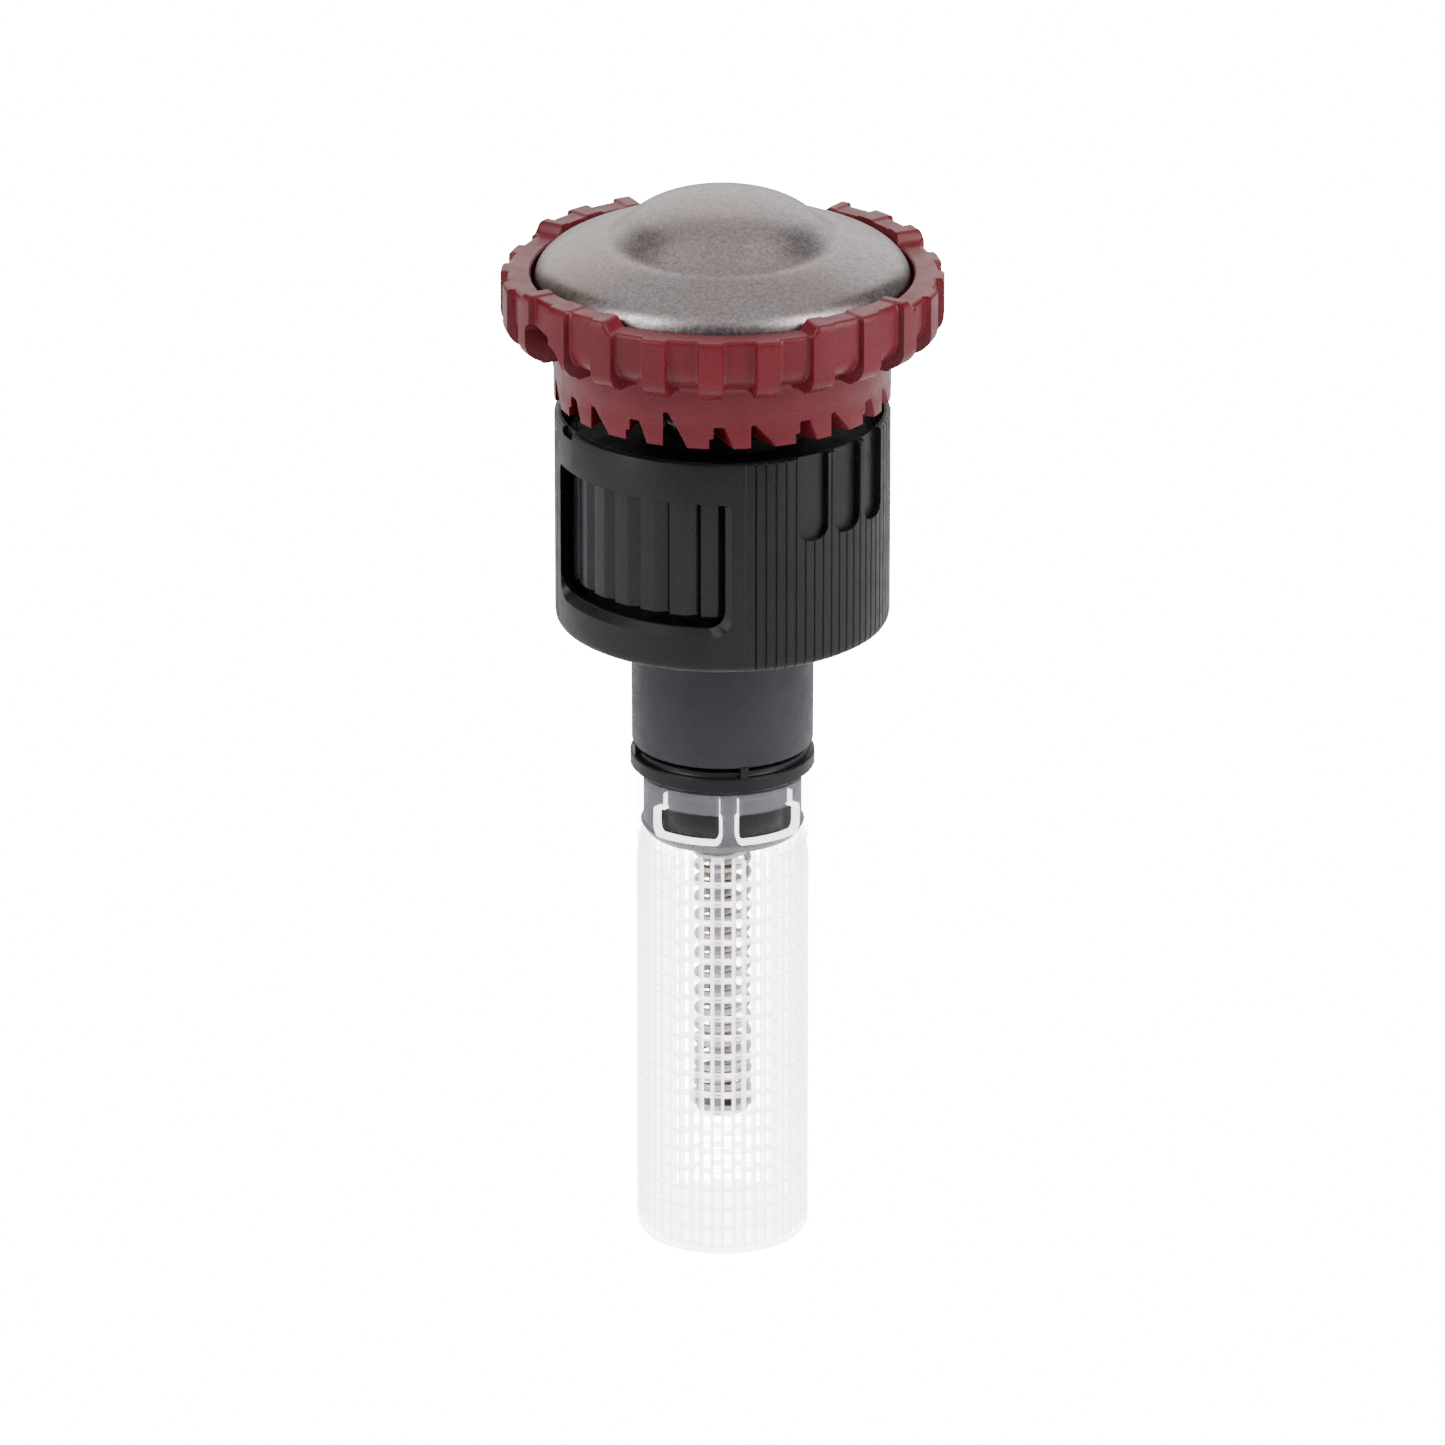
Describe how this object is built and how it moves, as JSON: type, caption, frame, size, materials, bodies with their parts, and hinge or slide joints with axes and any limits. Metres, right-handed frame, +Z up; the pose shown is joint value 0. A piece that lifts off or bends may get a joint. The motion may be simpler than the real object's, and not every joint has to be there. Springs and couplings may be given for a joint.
{
  "type": "rotary irrigation nozzle",
  "caption": "Rotating-stream irrigation nozzle with grip ring, steel cap, adjustable collar, threaded riser socket and clip-on filter basket.",
  "frame": {"origin": "centre of the riser socket's mouth, at the collar's bottom plane, on the nozzle's axis", "axes": "+Z up along the nozzle's axis towards the steel cap, -Y the front, where the collar's window is left of the middle"},
  "size_m": [0.0318, 0.0318, 0.08],
  "materials": {
    "black_plastic": "moulded satin black acetal",
    "dark_grey_plastic": "moulded satin dark grey acetal",
    "dark_red_plastic": "moulded satin dark red acetal",
    "natural_filter_plastic": "natural translucent polypropylene",
    "stainless_steel": "tumbled matte stainless steel",
    "white_acetal": "natural acetal, inside only",
    "seal_rubber": "black nitrile rubber"
  },
  "bodies": {
    "base": {"collar_shell": "black_plastic", "nozzle_base": "dark_grey_plastic", "inlet_spigot": "black_plastic", "nozzle_cover": "black_plastic", "spring_seat_washer": "stainless_steel", "return_spring": "stainless_steel", "neck_seal": "seal_rubber"},
    "shaft_assembly": {"shaft": "stainless_steel", "friction_disk": "stainless_steel", "head_clip": "stainless_steel", "lower_washer": "stainless_steel", "retaining_clip": "stainless_steel"},
    "rotor": {"deflector": "dark_red_plastic", "cap_dome": "stainless_steel", "brake_pad": "white_acetal", "chamber_lid": "white_acetal", "deflector_bush": "white_acetal", "shaft_seal": "seal_rubber"},
    "arc_valve": {"valve_sleeve": "white_acetal", "sleeve_seal": "seal_rubber"},
    "radius_group": {"radius_ring": "black_plastic", "drive_spider": "white_acetal"},
    "throttle": {"throttle_nut": "white_acetal"},
    "filter": {"filter_basket": "natural_filter_plastic"}
  },
  "joints": [
    {"name": "deflector_pull", "type": "slide", "parent": "base", "child": "shaft_assembly", "axis": [0, 0, 1], "range_m": [-0.0008, 0.006], "stiffness_N_per_m": 400, "springref_m": 0.0002, "deforming": ["return_spring"]},
    {"name": "deflector_spin", "type": "hinge", "parent": "shaft_assembly", "child": "rotor", "pos_m": [0, 0, 0.017], "axis": [0, 0, 1], "continuous": true},
    {"name": "arc_turn", "type": "hinge", "parent": "base", "child": "arc_valve", "pos_m": [0, 0, 0.0105], "axis": [0, 0, 1], "range_deg": [-135, 90]},
    {"name": "radius_turn", "type": "hinge", "parent": "base", "child": "radius_group", "pos_m": [0, 0, 0.0019], "axis": [0, 0, 1], "range_deg": [0, 450]},
    {"name": "throttle_travel", "type": "slide", "parent": "radius_group", "child": "throttle", "axis": [0, 0, 1], "range_m": [-0.0038, 0]},
    {"name": "filter_pull", "type": "slide", "parent": "base", "child": "filter", "axis": [0, 0, -1], "range_m": [0, 0.032]}
  ],
  "couplings": [
    {"joint": "throttle_travel", "follows": "radius_turn", "m_per_rad": -0.000477}
  ]
}
